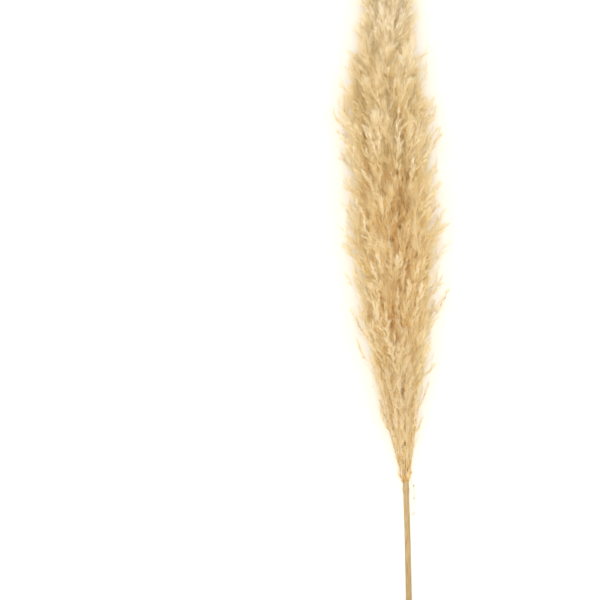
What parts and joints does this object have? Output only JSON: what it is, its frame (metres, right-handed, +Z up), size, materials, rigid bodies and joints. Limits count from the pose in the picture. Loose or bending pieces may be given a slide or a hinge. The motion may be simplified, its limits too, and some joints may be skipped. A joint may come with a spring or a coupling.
{
  "type": "dried pampas grass plume",
  "caption": "Dried pampas grass plume on a cut stem, lying on its side: soft overlapping feathery branches from a slim straw stem to a tapered tip.",
  "frame": {"origin": "bottom centre of the lying plume's bounding box, on the surface that it rests on", "axes": "+Y along the plume from the cut end of the stem to the tip, +Z up from the surface, +X to the right when seen from above with the tip away"},
  "size_m": [0.0896, 0.792, 0.0719],
  "materials": {
    "hair": "soft dry plume hair, matt with a silky sheen",
    "straw": "smooth dry grass stem, satin"
  },
  "bodies": {
    "root": {"stem": "straw", "whorl_01_branch_a": "hair", "whorl_01_branch_b": "hair", "whorl_01_branch_c": "hair", "whorl_01_branch_d": "hair", "whorl_02_branch_a": "hair", "whorl_02_branch_b": "hair", "whorl_02_branch_c": "hair", "whorl_02_branch_d": "hair", "whorl_02_branch_e": "hair", "whorl_03_branch_a": "hair", "whorl_03_branch_b": "hair", "whorl_03_branch_c": "hair", "whorl_03_branch_d": "hair", "whorl_03_branch_e": "hair", "whorl_04_branch_a": "hair", "whorl_04_branch_b": "hair", "whorl_04_branch_c": "hair", "whorl_04_branch_d": "hair", "whorl_04_branch_e": "hair", "whorl_04_branch_f": "hair", "whorl_05_branch_a": "hair", "whorl_05_branch_b": "hair", "whorl_05_branch_c": "hair", "whorl_05_branch_d": "hair", "whorl_05_branch_e": "hair", "whorl_05_branch_f": "hair", "whorl_06_branch_a": "hair", "whorl_06_branch_b": "hair", "whorl_06_branch_c": "hair", "whorl_06_branch_d": "hair", "whorl_06_branch_e": "hair", "whorl_06_branch_f": "hair", "whorl_07_branch_a": "hair", "whorl_07_branch_b": "hair", "whorl_07_branch_c": "hair", "whorl_07_branch_d": "hair", "whorl_07_branch_e": "hair", "whorl_07_branch_f": "hair", "whorl_08_branch_a": "hair", "whorl_08_branch_b": "hair", "whorl_08_branch_c": "hair", "whorl_08_branch_d": "hair", "whorl_08_branch_e": "hair", "whorl_09_branch_a": "hair", "whorl_09_branch_b": "hair", "whorl_09_branch_c": "hair", "whorl_09_branch_d": "hair", "whorl_09_branch_e": "hair", "whorl_10_branch_a": "hair", "whorl_10_branch_b": "hair", "whorl_10_branch_c": "hair", "whorl_10_branch_d": "hair", "whorl_11_branch_a": "hair", "whorl_11_branch_b": "hair", "whorl_11_branch_c": "hair", "whorl_11_branch_d": "hair", "tip_tuft": "hair", "hanging_twig": "straw"}
  },
  "joints": []
}
